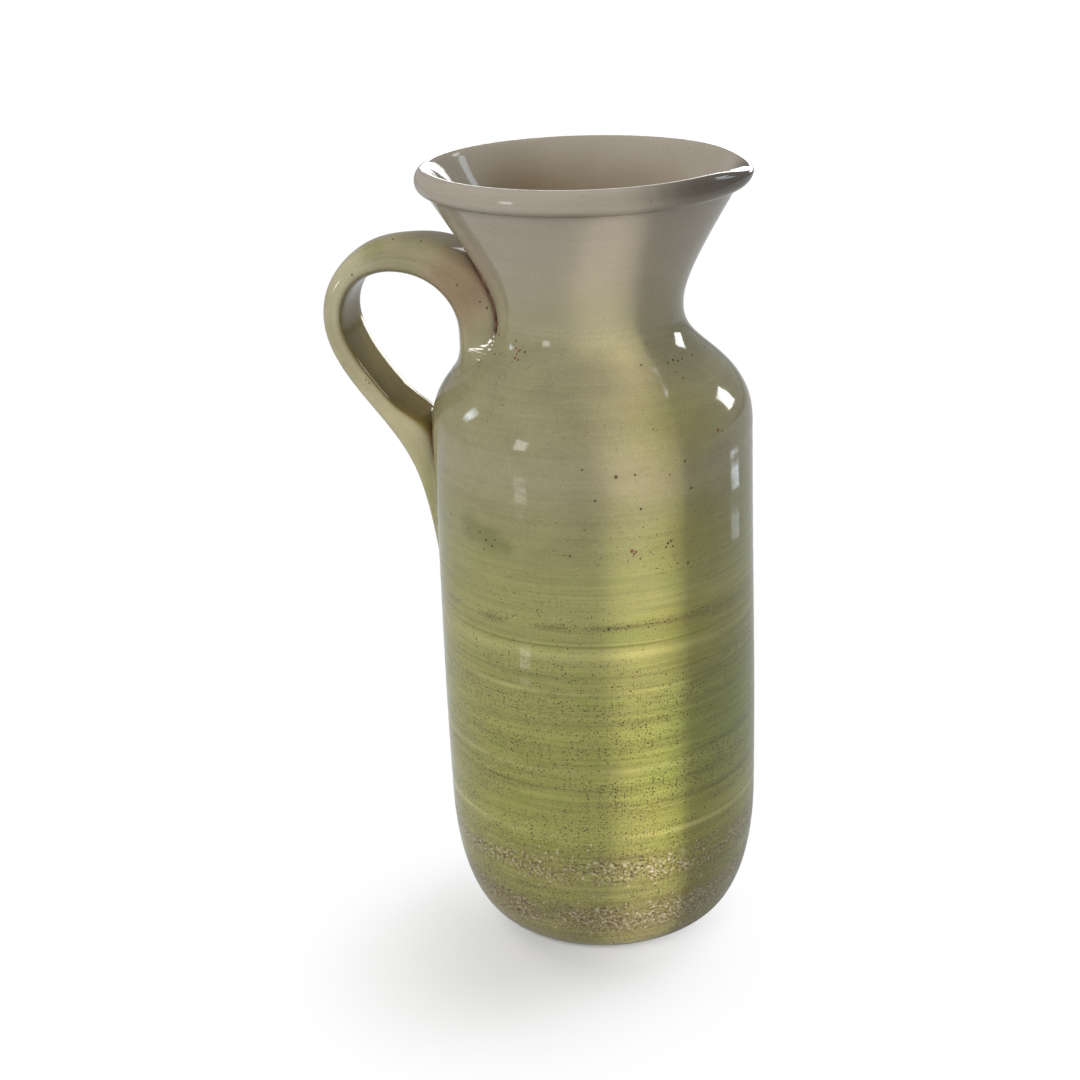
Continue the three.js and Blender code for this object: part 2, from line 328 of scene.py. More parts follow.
def glaze(name, by_height, streaked=1.0, flecked=1.0, grained=1.0, marks=(), pools_and_painted_light=(), thin=None,
          merged=None, pulled=None, inner=None):
    """Glaze over fired clay. Colour follows height and takes pooled tints, painted shade and painted light,
    is lightened and darkened by streaks (noise drawn out along the wheel's turn) and by grain, then takes
    brown specks that thicken downwards, crawled bands of crumbs near the foot, and single marks at their own
    places. Of what the mesh carries, merged brings in the body's own colour, thin shows the brown clay
    through, pulled runs lines along the strap, and inner, given with a colour, makes the strap's inner face
    brown, partly as painted shade."""
    material, shader, here = new_finish(name)
    height = here.node("ShaderNodeSeparateXYZ", {}, {0: here}, 2)
    lowness = height.rise(*GREEN_HEIGHTS)

    share_up = height * (1 / JUG_TOP)
    colour = share_up.ramp([(z / JUG_TOP, tone) for z, tone in by_height])
    if merged:
        body_colour = share_up.ramp([(z / JUG_TOP, tone) for z, tone in GLAZE_BY_HEIGHT])
        colour = colour.over(body_colour, here.carried(merged))
    # Tints laid over the height colour, among them painted shade and painted light.
    for place, reach, tone, strength in pools_and_painted_light:
        colour = colour.over(tone, here.distance(place).rise(reach, 0.2 * reach) * strength)
    if inner:
        colour = colour.over(inner[1], here.carried(inner[0]))

    cloud = here.stretched(1, 1, 1.8).noise(70, 3.0)
    colour = colour.over(GREEN_MOTTLE_AND_SHADE, cloud.rise(0.50, 0.74) * lowness * 0.45)
    broad = here.stretched(5, 5, 60).noise(1.0, 2.0)
    lines = here.stretched(10, 10, 420).noise(1.0, 5.0, 0.66)
    hairs = here.stretched(26, 26, 1500).noise(1.0, 3.0, 0.6)
    grain = here.noise(1300, 2.0, 0.6)
    streak = (broad * 0.35 + lines * 0.75 + hairs * 0.50 - 0.80) * (lowness * 0.75 + 0.25) * streaked
    tooth = streak * 1.35 + ((grain - 0.5) * 0.40 + (cloud - 0.5) * 0.35) * grained
    if pulled:
        tooth = tooth + (here.carried(pulled, "Vector").noise(9.0, 5.0, 0.7) - 0.5) * 0.55
    colour = colour.shaded(tooth + 1)
    wisp = here.stretched(13, 13, 40).noise(1.0, 3.0).rise(0.40, 0.66) * streaked
    for level, breadth, tone, strength in WHEEL_LINES:
        colour = colour.over(tone, height.bell(level, breadth) * wisp * strength)

    drift = here.stretched(20, 20, 75).noise(1.0, 3.0).rise(0.38, 0.66)
    share = lowness * 0.08 + height.rise(*SPECKLED_HEIGHTS) * 0.34 + 0.012
    share = share * (drift * 1.9 + 0.15) * flecked
    clump = here.stretched(34, 34, 60).noise(1.0, 2.0).rise(0.36, 0.60)
    in_front = here.distance(RING_FRONT).rise(*RING_REACH) * 0.8 + 0.2
    ring = height.bell(RING_Z, RING_BREADTH) * clump * in_front * flecked
    pepper = here.stretched(1, 1, 1.3).specks(980, 0.31, share + ring * 0.9)
    dust = here.specks(1700, 0.38, share * 2.2 + ring)
    blots = here.stretched(1, 1, 1.4).specks(430, 0.17, share * 0.25 + ring * 0.35)
    colour = colour.over(SPECK_BROWN, ring * 0.35)
    colour = colour.over(SPECK_BROWN, dust * 0.60)
    colour = colour.over(SPECK_BROWN, pepper.most(blots) * 0.88)

    ragged = here.stretched(55, 55, 140).noise(1.0, 3.0)
    bands = (height.bell(*HIGH_CRAWL) * 0.60).most(height.bell(*LOW_CRAWL))
    crawl = bands * ragged.rise(0.26, 0.55) * flecked
    colour = colour.over(CRAWL_BROWN, crawl * 0.55)
    grit = here.specks(900, 0.44, crawl * 0.35 + height.rise(*GRIT_HEIGHTS) * 0.02 * flecked)
    crumb = here.stretched(1, 1, 1.3).noise(760, 2.0, 0.6).rise(0.54, 0.61) * crawl.rise(0.12, 0.5)
    soot = here.stretched(1, 1, 1.3).noise(930, 2.0, 0.6).rise(0.52, 0.60) * crawl.rise(0.08, 0.4)
    bead = here.specks(520, 0.30, ring * 0.12)
    colour = colour.over(SPECK_BROWN, soot * 0.70)
    colour = colour.over(CRUMB_PALE, crumb * 0.42)
    colour = colour.over(CRUMB_PALE, grit.most(bead) * 0.65)

    for place, size, tone in marks:
        colour = colour.over(tone, here.distance(place).rise(size, 0.5 * size) * 0.85)
    if thin:
        colour = colour.over(THIN_BROWN, here.carried(thin) * (cloud.rise(0.30, 0.55) * 0.5 + 0.5))

    colour.into(shader, "Base Color")
    matt = crumb * 0.18 + pepper * 0.10 + crawl * 0.12 + hairs * 0.05 + 0.05
    matt.into(shader, "Roughness")
    orange_peel = here.noise(210, 2.0)
    relief = lines * 0.35 + orange_peel * 0.45 + crumb * 0.5 + grit * 0.3 - pepper * 0.25
    bump = here.node("ShaderNodeBump", {}, {"Strength": 0.35, "Distance": RELIEF, "Height": relief})
    bump.into(shader, "Normal")
    shader.inputs["IOR"].default_value = GLAZE_IOR
    return material


base_run = curve((FOOT_RADIUS, 0), (FOOT_RADIUS + BASE_SPREAD, 0),
                 (BODY_RADIUS, BASE_HEIGHT - BASE_ROUND), (BODY_RADIUS, BASE_HEIGHT), 38)
wall_run = straight((BODY_RADIUS, BASE_HEIGHT), (BODY_RADIUS, SHOULDER_Z), 150)
shoulder_run = curve((BODY_RADIUS, SHOULDER_Z), (BODY_RADIUS, SHOULDER_Z + SHOULDER_ROUND),
                     (WAIST_RADIUS, WAIST_Z - WAIST_HOLLOW), (WAIST_RADIUS, WAIST_Z), 58)
inner_radius = BODY_RADIUS - WALL
inner_base = curve((FOOT_RADIUS, FLOOR), (FOOT_RADIUS + BASE_SPREAD, FLOOR),
                   (inner_radius, BASE_HEIGHT - BASE_ROUND + FLOOR), (inner_radius, BASE_HEIGHT), 26)
body_profile = joined(
    straight((AXIS_GAP, 0), (FOOT_RADIUS, 0), 8), base_run, wall_run, shoulder_run,
    straight((WAIST_RADIUS, WAIST_Z), (WAIST_RADIUS - WALL, WAIST_Z), 4),
    inward(shoulder_run, WALL)[::-1][::2],
    straight((inner_radius, SHOULDER_Z), (inner_radius, BASE_HEIGHT), 30),
    inner_base[::-1], straight((FOOT_RADIUS, FLOOR), (AXIS_GAP, FLOOR), 8))

body = shell("body_glazed", thrown(turned(body_profile, TURN_COLUMNS)))

# The camera fitted to the photo, by which a pixel of the photo is found on a piece.
PHOTO_SIDE = 1080
VIEW_TURN = math.radians(12)
VIEW_AWAY = 0.650
VIEW_HEIGHT = 0.40634
VIEW_PITCH = 0.3827
VIEW_YAW = -0.0307
VIEW_ROLL = -0.0438
VIEW_LENS = 65.097
VIEW_SENSOR = 36.0


def seen_from(right, away, up):
    """A place given as right of, beyond and above the foot as the camera sees it, in the jug's frame."""
    c, s = math.cos(VIEW_TURN), math.sin(VIEW_TURN)
    return (right * c - away * s, right * s + away * c, up)


ahead = np.array([math.sin(VIEW_YAW) * math.cos(VIEW_PITCH), math.cos(VIEW_YAW) * math.cos(VIEW_PITCH),
                  -math.sin(VIEW_PITCH)])
level = np.array([math.cos(VIEW_YAW), -math.sin(VIEW_YAW), 0])
upright = np.cross(level, ahead)
view_place = np.array(seen_from(0, -VIEW_AWAY, VIEW_HEIGHT))
view_ahead = np.array(seen_from(*ahead))
view_right = np.array(seen_from(*(math.cos(VIEW_ROLL) * level + math.sin(VIEW_ROLL) * upright)))
view_up = np.array(seen_from(*(math.cos(VIEW_ROLL) * upright - math.sin(VIEW_ROLL) * level)))


def sighted(piece, across, down):
    """Where the line of sight through a pixel of the photo first meets the piece, the line's direction, and
    the face it meets. The line runs ahead, plus the pixel's way right and less its way down from the photo's
    middle, over the lens."""
    right, low = np.subtract((across, down), PHOTO_SIDE / 2) * VIEW_SENSOR / (VIEW_LENS * PHOTO_SIDE)
    sight = view_ahead + right * view_right - low * view_up
    sight /= np.linalg.norm(sight)
    current = bpy.context.evaluated_depsgraph_get()
    _, place, _, face = piece.ray_cast(view_place.tolist(), sight.tolist(), depsgraph=current)
    return np.array(place), sight, piece.data.polygons[face]


def marked(piece, pixels, tone):
    """Marks of one colour on a piece, from the pixel across and down in the photo and the radius of each."""
    return [(tuple(sighted(piece, across, down)[0].tolist()), size, tone) for across, down, size in pixels]


# Pixel across, pixel down and radius of each mark.
BODY_SPECKS = [
    (516, 341, 0.0005), (513, 345, 0.0004), (525, 352, 0.0006), (512, 362, 0.0004), (495, 354, 0.0005),
    (500, 354, 0.0004), (502, 353, 0.0003), (480, 362, 0.0005), (479, 366, 0.0004), (494, 346, 0.0004),
    (496, 384, 0.0004), (436, 410, 0.0005), (641, 365, 0.0006), (668, 363, 0.0005), (673, 360, 0.0006),
    (678, 361, 0.0006), (682, 359, 0.0005), (692, 355, 0.0006), (705, 347, 0.0006), (676, 372, 0.0004),
    (683, 378, 0.0005), (634, 554, 0.0005), (668, 543, 0.0006), (671, 541, 0.0005), (666, 547, 0.0005),
    (673, 546, 0.0005), (616, 477, 0.0008), (595, 501, 0.0006), (641, 509, 0.0006), (582, 470, 0.0005),
    (635, 475, 0.0005), (480, 532, 0.0006), (486, 540, 0.0007), (492, 546, 0.0006), (495, 540, 0.0005),
    (484, 549, 0.0005), (469, 528, 0.0005), (451, 514, 0.0006), (570, 556, 0.0006), (688, 563, 0.0006),
    (691, 488, 0.0006), (685, 461, 0.0006),
]
BODY_RUST = [
    (516, 348, 0.0005), (519, 351, 0.0006), (521, 350, 0.0004), (517, 354, 0.0005), (515, 358, 0.0007),
    (518, 360, 0.0006), (506, 356, 0.0004), (499, 335, 0.0007), (498, 324, 0.0005), (718, 430, 0.0008),
    (722, 431, 0.0005), (632, 551, 0.0008), (636, 552, 0.0006),
]
# Olive for the painted shade down the body's right side.
RIGHT_SHADE_OLIVE = paint(108, 104, 38)
# Place, reach, colour and strength of each pool and smudge in the glaze. The green pool and the olive pools
# on the right are painted shade where the wall turns from the lamps; the olive smudges on the left are the
# glaze's own.
BODY_POOLS_AND_SHADE = [
    ((0.0480, -0.0290, 0.0900), 0.042, GREEN_MOTTLE_AND_SHADE, 0.55),
    ((0.0380, -0.0390, 0.2010), 0.026, RIGHT_SHADE_OLIVE, 0.35),
    ((0.0415, -0.0376, 0.1620), 0.024, RIGHT_SHADE_OLIVE, 0.5),
    ((0.0415, -0.0376, 0.1280), 0.024, RIGHT_SHADE_OLIVE, 0.5),
    ((0.0415, -0.0376, 0.0500), 0.030, RIGHT_SHADE_OLIVE, 0.4),
    ((0.0415, -0.0340, 0.0200), 0.026, RIGHT_SHADE_OLIVE, 0.5),
    ((-0.0330, -0.0452, 0.1650), 0.0085, SMUDGE_OLIVE, 0.45),
    ((-0.0255, -0.0498, 0.1630), 0.0075, SMUDGE_OLIVE, 0.55),
    ((-0.0195, -0.0525, 0.1612), 0.0045, SMUDGE_OLIVE, 0.45),
]
body_marks = marked(body, BODY_SPECKS, SPECK_BROWN) + marked(body, BODY_RUST, RUST)
body.data.materials.append(glaze("olive_glaze", GLAZE_BY_HEIGHT, marks=body_marks, pools_and_painted_light=BODY_POOLS_AND_SHADE))
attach(body, "root")
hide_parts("body")


# Waist slip. Liquid clay brushed on the waist when the collar was set on the body. It fired to a thin ring,
# flush outside under the same glaze, with a low ridge inside the neck where it was squeezed out.
SLIP_LOW, SLIP_HIGH = (corner.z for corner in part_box("waist_slip"))
SLIP_RIDGE = 0.0006

ridge_run = curve((WAIST_RADIUS - WALL, SLIP_HIGH), (WAIST_RADIUS - WALL - SLIP_RIDGE, SLIP_HIGH),
                  (WAIST_RADIUS - WALL - SLIP_RIDGE, SLIP_LOW), (WAIST_RADIUS - WALL, SLIP_LOW), 12)
slip_profile = joined(
    straight((WAIST_RADIUS, SLIP_LOW), (WAIST_RADIUS, SLIP_HIGH), 4),
    straight((WAIST_RADIUS, SLIP_HIGH), (WAIST_RADIUS - WALL, SLIP_HIGH), 4),
    ridge_run, straight((WAIST_RADIUS - WALL, SLIP_LOW), (WAIST_RADIUS, SLIP_LOW), 4))[:-1]

waist_slip = shell("waist_slip_ring", turned(slip_profile, TURN_COLUMNS), loop=True)
waist_slip.data.materials.append(glaze("slip_under_glaze", GLAZE_BY_HEIGHT))
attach(waist_slip, "root")
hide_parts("waist_slip")


# Collar. The upper section, thrown apart and joined at the waist: a flare with a rolled rim, squeezed a
# little oval across, and pinched at the front into a pouring lip. The glaze on it is a quiet grey-beige.
COLLAR_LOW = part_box("collar")[0].z
RIM_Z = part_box("collar")[1].z
COLLAR_RADIUS = 0.0495
COLLAR_RISE = 0.036
COLLAR_HOLLOW = 0.009
FLARE_RISE = 0.014
FLARE_RUN = 0.0085
RIM_BULGE = 0.0065
ROLL_OUT = (0.0021, 0.0005)
RIM_GROOVE = 0.0045
CREST_DROP = 0.0045
CREST_INSET = 0.004
CREST_EDGE = 0.0012
THROAT_EASE = 1.2
MOUTH_SQUEEZE = 0.0055
MOUTH_LEAN = 0.0013
LIP_REACH = 0.004
LIP_DROP = 0.002
LIP_DEPTH = 0.011
LIP_SPREAD = math.radians(15)
COLLAR_COLUMNS = 288
ROUND = 0.5523


def pinched(points):
    """Eases the turned mouth to an oval and pinches it. With rise from the waist to the rim, x moves back by
    lean times rise and y shrinks by squeeze times rise. Round the front the wall moves out by reach and down
    by drop, times a bell curve of the angle and the square of 1 - depth below the rim over lip depth."""
    x, y, z = np.moveaxis(points, -1, 0)
    up = smooth(z, COLLAR_LOW, RIM_Z)
    throat = np.clip(1 - (RIM_Z - z) / LIP_DEPTH, 0, 1) ** 2
    lip = throat * np.exp(-(np.arctan2(y, x) / LIP_SPREAD) ** 2)
    out = 1 + LIP_REACH * lip / (COLLAR_RADIUS + RIM_BULGE)
    across = 1 - MOUTH_SQUEEZE * up / (COLLAR_RADIUS + RIM_BULGE - CREST_INSET)
    return np.stack([x * out - MOUTH_LEAN * up, y * out * across, z - LIP_DROP * lip], -1)


crease = (COLLAR_RADIUS, COLLAR_LOW + COLLAR_RISE)
bulge = (COLLAR_RADIUS + RIM_BULGE, RIM_Z - CREST_DROP)
crest = (bulge[0] - CREST_INSET, RIM_Z)
groove = (crease[0] + RIM_GROOVE * FLARE_RUN / FLARE_RISE, crease[1] + RIM_GROOVE)
flare_run = curve((WAIST_RADIUS, COLLAR_LOW), (WAIST_RADIUS, COLLAR_LOW + COLLAR_HOLLOW),
                  (COLLAR_RADIUS - FLARE_RUN, crease[1] - FLARE_RISE), crease, 62)
inner_flare = inward(flare_run, WALL)
mouth_edge = inner_flare[-1]
throat = mouth_edge + THROAT_EASE * (inner_flare[-1] - inner_flare[-9])
collar_profile = joined(
    flare_run, straight(crease, groove, 12),
    curve(groove, np.add(groove, ROLL_OUT), (bulge[0], bulge[1] - CREST_DROP * ROUND), bulge, 24),
    curve(bulge, (bulge[0], bulge[1] + CREST_DROP * ROUND),
          (crest[0] + CREST_INSET * ROUND, RIM_Z), crest, 18),
    curve(crest, (crest[0] - CREST_EDGE, RIM_Z), throat, mouth_edge, 30), inner_flare[::-1],
    straight(inner_flare[0], (WAIST_RADIUS, COLLAR_LOW), 4))[:-1]

collar = shell("collar_glazed", pinched(turned(collar_profile, COLLAR_COLUMNS)), loop=True)
# Painted shade: the rolled rim's near right side and the pinched lip are darkened where they turn from the
# lamps.
LIP_DARK = paint(68, 62, 54)
LIP_SHADE_REACH = 0.0075
LIP_SHADE_STRENGTH = 0.85
LIP_SHADE_COLUMNS = 60
roll_line = pinched(turned(np.add([bulge], [crest]) / 2, LIP_SHADE_COLUMNS))[0]
roll_turn = np.linspace(0, 2 * np.pi, LIP_SHADE_COLUMNS, endpoint=False)
roll_dark = smooth(np.cos(roll_turn), 0.40, 0.85) * smooth(-np.sin(roll_turn), -0.30, 0.0)
lip_shade = [(tuple(place), LIP_SHADE_REACH, LIP_DARK, LIP_SHADE_STRENGTH * dark)
             for place, dark in zip(roll_line.tolist(), roll_dark.tolist()) if dark > 0]
# Painted shade in the throat: brown pools darken the inside of the mouth towards its bottom, most on the
# left.
THROAT_SHADE_BROWN = paint(104, 90, 70)
THROAT_SHADE_POOLS = [
    ((-0.0280, 0.0260, 0.2560), 0.030, THROAT_SHADE_BROWN, 0.95),
    ((-0.0060, 0.0340, 0.2540), 0.030, THROAT_SHADE_BROWN, 0.7),
    ((0.0160, 0.0320, 0.2540), 0.028, THROAT_SHADE_BROWN, 0.6),
]
collar.data.materials.append(glaze("grey_beige_glaze", GLAZE_BY_HEIGHT, 0.45, 0.5, 0.4,
                                   pools_and_painted_light=lip_shade + THROAT_SHADE_POOLS))
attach(collar, "root")
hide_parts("collar")


# Handle. A strap pulled from a roll of clay, bent into a loop and pressed on while soft: its root beside the
# waist is smoothed into the shoulder, and its tail is smeared flat down the wall. Glazed with the rest.
ROOT_AXIS = 0.0381
ROOT_Z = 0.204
NECK_Z = 0.224
CROWN = (0.0656, 0.2485)
GRIP = (0.0888, 0.2265)
GRIP_ROUND = 0.018
JOIN = (0.0606, 0.177)
JOIN_LEAN = (0.007, 0.017)
TIP = (0.0532, 0.131)
TIP_LEAN = 0.002
# Width, thickness, outer depth, and squareness outside and inside, at nine stations from root to tip.
STRAP_SIZES = np.array([
    (0.036, 0.0130, 0.0140, 7.0, 2.0), (0.036, 0.0130, 0.0140, 7.0, 2.0), (0.021, 0.0120, 0.0061, 2.0, 4.0),
    (0.0245, 0.0082, 0.0051, 2.3, 3.5), (0.025, 0.0072, 0.0048, 2.5, 6.0), (0.024, 0.0076, 0.0052, 2.6, 6.0),
    (0.023, 0.0190, 0.0055, 2.6, 5.0), (0.022, 0.0150, 0.0055, 2.6, 5.0), (0.016, 0.0050, 0.0025, 3.0, 4.0),
])
FALL_SHARES = np.array([0.72, 0.87])
SIZE_EASE = 17
BITE = 0.0022
ROOT_FILLET = 0.0055
TAIL_FILLET = 0.0040
FILLET_PARTING = 0.19
ROOT_SMOOTHED = (0.213, 0.229)
TAIL_SMOOTHED = (0.160, 0.180)
CREASE_PARTING = 0.20
ROOT_CREASE = (0.2215, 0.2270)
TAIL_CREASE = (0.168, 0.184)
INNER_FACE = (0.45, 0.80)
THIN_REACH = 0.0014
MERGE_REACH = 0.0050
STRAP_COLUMNS = 120
PULL_DRAW = 0.6


def eased(a, lead, trail, b, rows):
    """Cubic run that leaves a along lead and reaches b along trail."""
    return curve(a, np.add(a, lead), np.subtract(b, trail), b, rows)


strap_runs = [
    straight((ROOT_AXIS, ROOT_Z), (ROOT_AXIS, NECK_Z), 100),
    eased((ROOT_AXIS, NECK_Z), (0, (CROWN[1] - NECK_Z) * ROUND),
          ((CROWN[0] - ROOT_AXIS) * ROUND, 0), CROWN, 70),
    eased(CROWN, ((GRIP[0] - CROWN[0]) * ROUND, 0), (0, (GRIP[1] - CROWN[1]) * ROUND), GRIP, 60),
    eased(GRIP, (0, -GRIP_ROUND), (-JOIN_LEAN[0], -JOIN_LEAN[1]), JOIN, 80),
    eased(JOIN, (-JOIN_LEAN[0] * ROUND, -JOIN_LEAN[1] * ROUND),
          (-TIP_LEAN, (TIP[1] - JOIN[1]) * (1 - ROUND)), TIP, 90),
]
strap_line = joined(*strap_runs)
run_ends = np.cumsum([0] + [len(run) - 1 for run in strap_runs])
fall = run_ends[4] - run_ends[3]
added = [(run_ends[2] + run_ends[3]) // 2, *(run_ends[3] + FALL_SHARES * fall)]
stations = np.insert(run_ends, (3, 4, 4), added)
strap_sizes = [np.interp(np.arange(len(strap_line)), stations, sizes) for sizes in STRAP_SIZES.T]
strap_sizes = [np.pad(sizes, SIZE_EASE // 2, "edge") for sizes in strap_sizes]
evenly = np.full(SIZE_EASE, 1 / SIZE_EASE)
strap_sizes = np.stack([np.convolve(sizes, evenly, "valid") for sizes in strap_sizes], 1)


def strap(line, sizes, columns):
    """Rounded oblong carried along the line. Across, it is half the width times sign(cos) |cos|^(2/n). Along
    the line's normal it is a depth times sign(sin) |sin|^(2/n), with one depth and one squareness n towards
    the outside of the loop and another, half the thickness and its own n, towards the inside."""
    along = np.gradient(line, axis=0)
    along /= np.linalg.norm(along, axis=1)[:, None]
    normal = np.stack([-along[:, 1], along[:, 0]], 1)[:, None, :]
    angle = np.linspace(0, 2 * np.pi, columns, endpoint=False)[None, :]
    width, thickness, outer, outer_square, inner_square = (sizes[:, k:k + 1] for k in range(5))
    outside = np.sin(angle) > 0
    power = 2 / np.where(outside, outer_square, inner_square)
    across = np.sign(np.cos(angle)) * np.abs(np.cos(angle)) ** power * width / 2
    deep = np.sign(np.sin(angle)) * np.abs(np.sin(angle)) ** power * np.where(outside, outer, thickness / 2)
    place = line[:, None, :] + normal * deep[..., None]
    return np.stack([-place[..., 0], -across, place[..., 1]], -1)


outer_line = joined(base_run, wall_run, shoulder_run, flare_run)
outer_side = inward(outer_line, -1) - outer_line


def wall_distance(points):
    """Signed distance from the jug's outer wall, positive outside, and the wall's own normal there. Found in
    the plane of radius and height, from the nearest point of the profile."""
    radius = np.hypot(points[..., 0], points[..., 1])
    flat = np.stack([radius, points[..., 2]], -1).reshape(-1, 2)
    gaps = ((flat[:, None, :] - outer_line[None]) ** 2).sum(-1)
    nearest = gaps.argmin(1)
    normal = outer_side[nearest]
    depth = ((flat - outer_line[nearest]) * normal).sum(1)
    turn = points[..., :2] / np.maximum(radius, 1e-6)[..., None]
    normal = normal.reshape(*radius.shape, 2)
    away = np.concatenate([turn * normal[..., :1], normal[..., 1:]], -1)
    return depth.reshape(radius.shape), away


def pressed_on(points):
    """Near the wall the strap spreads into a hollow quarter round: a point whose distance from the wall is
    d, under the reach k, slides along the wall, away from the strap's middle line, by
    k (1 - sqrt(1 - (1 - d/k)^2)). What would go deeper than the bite stops there."""
    middle = points.mean(1, keepdims=True)
    out = points - middle
    out /= np.linalg.norm(out, axis=-1, keepdims=True)
    distance, away = wall_distance(points)
    out = out - away * (out * away).sum(-1, keepdims=True)
    out /= np.maximum(np.linalg.norm(out, axis=-1, keepdims=True), 0.4)
    z = points[..., 2]
    by_root = z > FILLET_PARTING
    reach = np.where(by_root, ROOT_FILLET, TAIL_FILLET)
    near = np.clip(1 - np.maximum(distance, 0) / reach, 0, 1)
    smoothed = 1 - np.where(by_root, smooth(z, *ROOT_SMOOTHED), smooth(z, *TAIL_SMOOTHED))
    points = points + out * (smoothed * reach * (1 - np.sqrt(1 - near ** 2)))[..., None]
    for _ in range(3):
        distance, away = wall_distance(points)
        points = points + away * np.maximum(-BITE - distance, 0)[..., None]
    return points


strap_points = pressed_on(strap(strap_line, strap_sizes, STRAP_COLUMNS))
handle = shell("handle_strap", strap_points)
strap_gap = np.maximum(wall_distance(strap_points)[0], 0)
strap_z = strap_points[..., 2]
in_crease = np.where(strap_z > CREASE_PARTING, smooth(strap_z, *ROOT_CREASE), smooth(strap_z, *TAIL_CREASE))
thinness = np.exp(-(strap_gap / THIN_REACH) ** 2) * in_crease
merging = np.exp(-(strap_gap / MERGE_REACH) ** 2)
strap_turn = np.linspace(0, 2 * np.pi, STRAP_COLUMNS, endpoint=False)[None, :]
# Share of the strap's inner face, past the crown, that takes its brown and painted shade.
inner_face = (smooth(-np.sin(strap_turn), *INNER_FACE)
              * smooth(np.arange(len(strap_line))[:, None], run_ends[2], run_ends[3]))
for attribute, values in (("thin_glaze", thinness), ("merged_glaze", merging), ("inner_face", inner_face)):
    layer = handle.data.attributes.new(attribute, "FLOAT", "POINT")
    layer.data.foreach_set("value", np.append(values.ravel(), (0, 0)).astype(np.float32))
strap_length = np.linspace(0, 1, len(strap_line))[:, None]
pull = np.stack(np.broadcast_arrays(np.cos(strap_turn), np.sin(strap_turn), PULL_DRAW * strap_length), -1)
layer = handle.data.attributes.new("pull", "FLOAT_VECTOR", "POINT")
layer.data.foreach_set("vector", np.append(pull.ravel(), np.zeros(6)).astype(np.float32))
HANDLE_BY_HEIGHT = [
    (0.130, paint(140, 136, 86)), (0.165, paint(154, 147, 105)), (0.190, paint(160, 152, 118)),
    (0.225, paint(134, 126, 99)), (0.240, paint(132, 124, 98)), (0.256, paint(128, 121, 93)),
]
HANDLE_SPECKS = [
    (484, 357, 0.0004), (494, 330, 0.0004), (480, 302, 0.0005), (487, 308, 0.0006), (457, 285, 0.0005),
    (393, 239, 0.0007), (421, 241, 0.0005), (352, 275, 0.0005), (380, 415, 0.0004),
]
HANDLE_RUST = [
    (344, 364, 0.0004), (366, 380, 0.0004), (369, 383, 0.0004),
]
# Brown of the strap's inner face, which faces the wall: partly thin glaze, partly painted shade.
INNER_BROWN_AND_SHADE = paint(118, 102, 52)
# Place, reach, colour and strength of each pool. The first darkens the strap beside the neck, the next two
# are painted light on the loop's outer left, and the last two tint the crown olive.
HANDLE_POOLS_AND_PAINTED_LIGHT = [
    ((-0.0410, -0.0140, 0.2400), 0.020, paint(118, 100, 78), 0.9),
    ((-0.0870, -0.0105, 0.2370), 0.018, paint(152, 146, 118), 0.7),
    ((-0.0810, -0.0110, 0.2465), 0.013, paint(154, 148, 120), 0.7),
    ((-0.0740, -0.0090, 0.2540), 0.009, paint(106, 106, 58), 0.5),
    ((-0.0600, -0.0090, 0.2430), 0.010, paint(112, 106, 68), 0.5),
]
handle_marks = marked(handle, HANDLE_SPECKS, SPECK_BROWN) + marked(handle, HANDLE_RUST, RUST)
handle.data.materials.append(glaze("handle_glaze", HANDLE_BY_HEIGHT, 0.3, 0.6, 0.8, handle_marks,
                                   HANDLE_POOLS_AND_PAINTED_LIGHT, thin="thin_glaze", merged="merged_glaze", pulled="pull",
                                   inner=("inner_face", INNER_BROWN_AND_SHADE)))
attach(handle, "root")
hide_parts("handle")


# Joining slip at the handle. A smear of liquid clay squeezed out all round each end of the strap. It fired
# to a low bead in the crease, brown where the glaze ran thin, and sinks away where a finger smoothed it.
BEAD = 0.0006
BEAD_LEVEL = 0.0004
BEAD_SINK = 0.0016
BEAD_SIDES = 10
BEAD_TURNS = 200
ROOT_ROWS = slice(0, 220)
TAIL_ROWS = slice(0, 150)


def crease_loop(points, rows):
    """Loop where the strap leaves the wall: along each column, the place at which the wall's distance passes
    through the bead's level, taken in proportion between two rows. It is then laid out evenly by length."""
    part = points[rows]
    distance = wall_distance(part)[0] - BEAD_LEVEL
    outside = distance > 0
    after = np.clip(outside.argmax(0), 1, None)
    column = np.arange(part.shape[1])
    near, far = distance[after - 1, column], distance[after, column]
    share = np.clip(-near / np.where(np.abs(far - near) < 1e-9, 1e-9, far - near), 0, 1)[:, None]
    loop = part[after - 1, column] * (1 - share) + part[after, column] * share
    closed = np.concatenate([loop, loop[:1]])
    length = np.concatenate([[0], np.cumsum(np.linalg.norm(np.diff(closed, axis=0), axis=1))])
    even = np.linspace(0, length[-1], BEAD_TURNS, endpoint=False)
    return np.stack([np.interp(even, length, closed[:, k]) for k in range(3)], -1)


def bead(loop, shown):
    """Round bead carried along the loop: radius times (cos, sin) of an angle about it, thinned and sunk
    below the wall where shown is 0."""
    along = np.roll(loop, -1, 0) - np.roll(loop, 1, 0)
    along /= np.linalg.norm(along, axis=1)[:, None]
    _, away = wall_distance(loop)
    side = np.cross(away, along)
    side /= np.linalg.norm(side, axis=1)[:, None]
    lift = np.cross(along, side)
    angle = np.linspace(0, 2 * np.pi, BEAD_SIDES, endpoint=False)[None, :, None]
    radius = (BEAD * (0.35 + 0.65 * shown))[:, None, None]
    middle = loop - away * (BEAD_LEVEL / 2 * shown + BEAD_SINK * (1 - shown))[:, None]
    outline = np.cos(angle) * side[:, None, :] + np.sin(angle) * lift[:, None, :]
    return middle[:, None, :] + radius * outline


